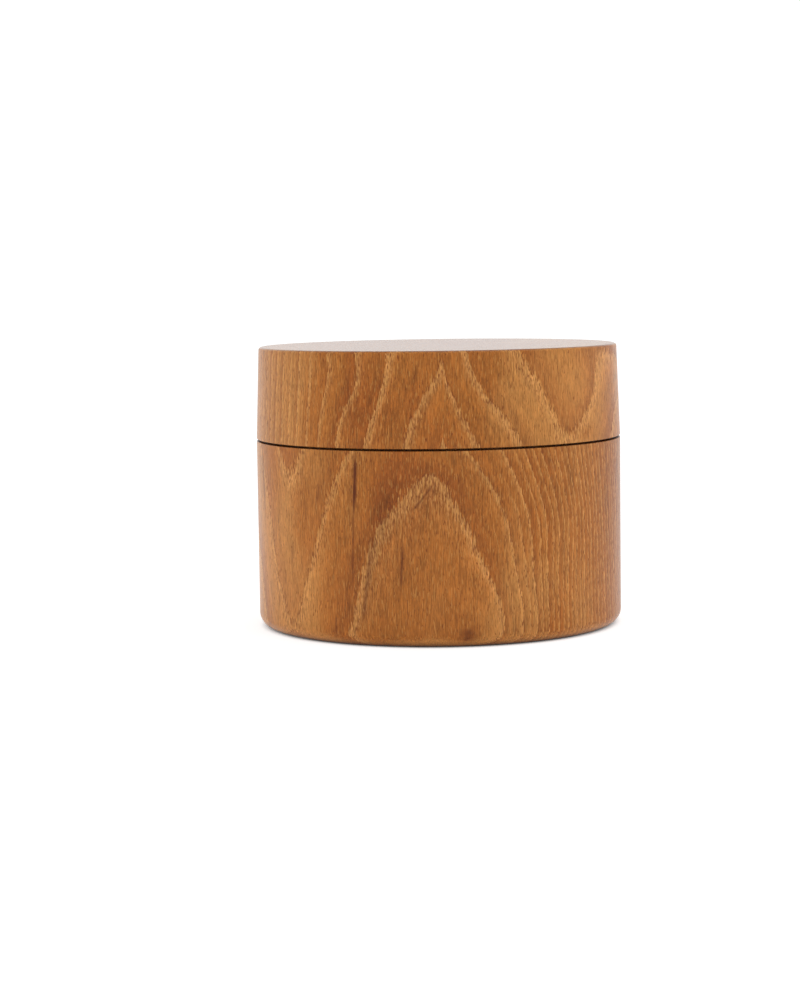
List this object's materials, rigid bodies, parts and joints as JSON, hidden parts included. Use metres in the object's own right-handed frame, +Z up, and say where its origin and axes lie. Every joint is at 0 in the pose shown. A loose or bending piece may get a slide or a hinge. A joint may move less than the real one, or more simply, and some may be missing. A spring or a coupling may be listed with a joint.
{
  "type": "storage jar",
  "caption": "Turned wooden storage jar: a straight round body with a flush cap lid that lifts off its neck, closed by a hidden seal ring.",
  "frame": {"origin": "middle of the standing face, on the axis that the jar is turned about", "axes": "+Z up along the turning axis, out of the lid; the jar is round, so X and Y only fix the grain, and -Y faces the picture's camera"},
  "size_m": [0.12, 0.12, 0.092],
  "materials": {
    "body_teak": "satin oiled teak, grain upright",
    "lid_teak": "satin oiled teak, grain upright",
    "seal_silicone": "milky moulded silicone"
  },
  "bodies": {
    "jar": {"jar_body": "body_teak"},
    "seal": {"seal_ring": "seal_silicone"},
    "cap": {"lid": "lid_teak"}
  },
  "joints": [
    {"name": "lid_turn", "type": "hinge", "parent": "jar", "child": "seal", "pos_m": [0, 0, 0.0663], "axis": [0, 0, 1], "continuous": true},
    {"name": "lid_lift", "type": "slide", "parent": "seal", "child": "cap", "axis": [0, 0, 1], "range_m": [0, 0.12]}
  ]
}
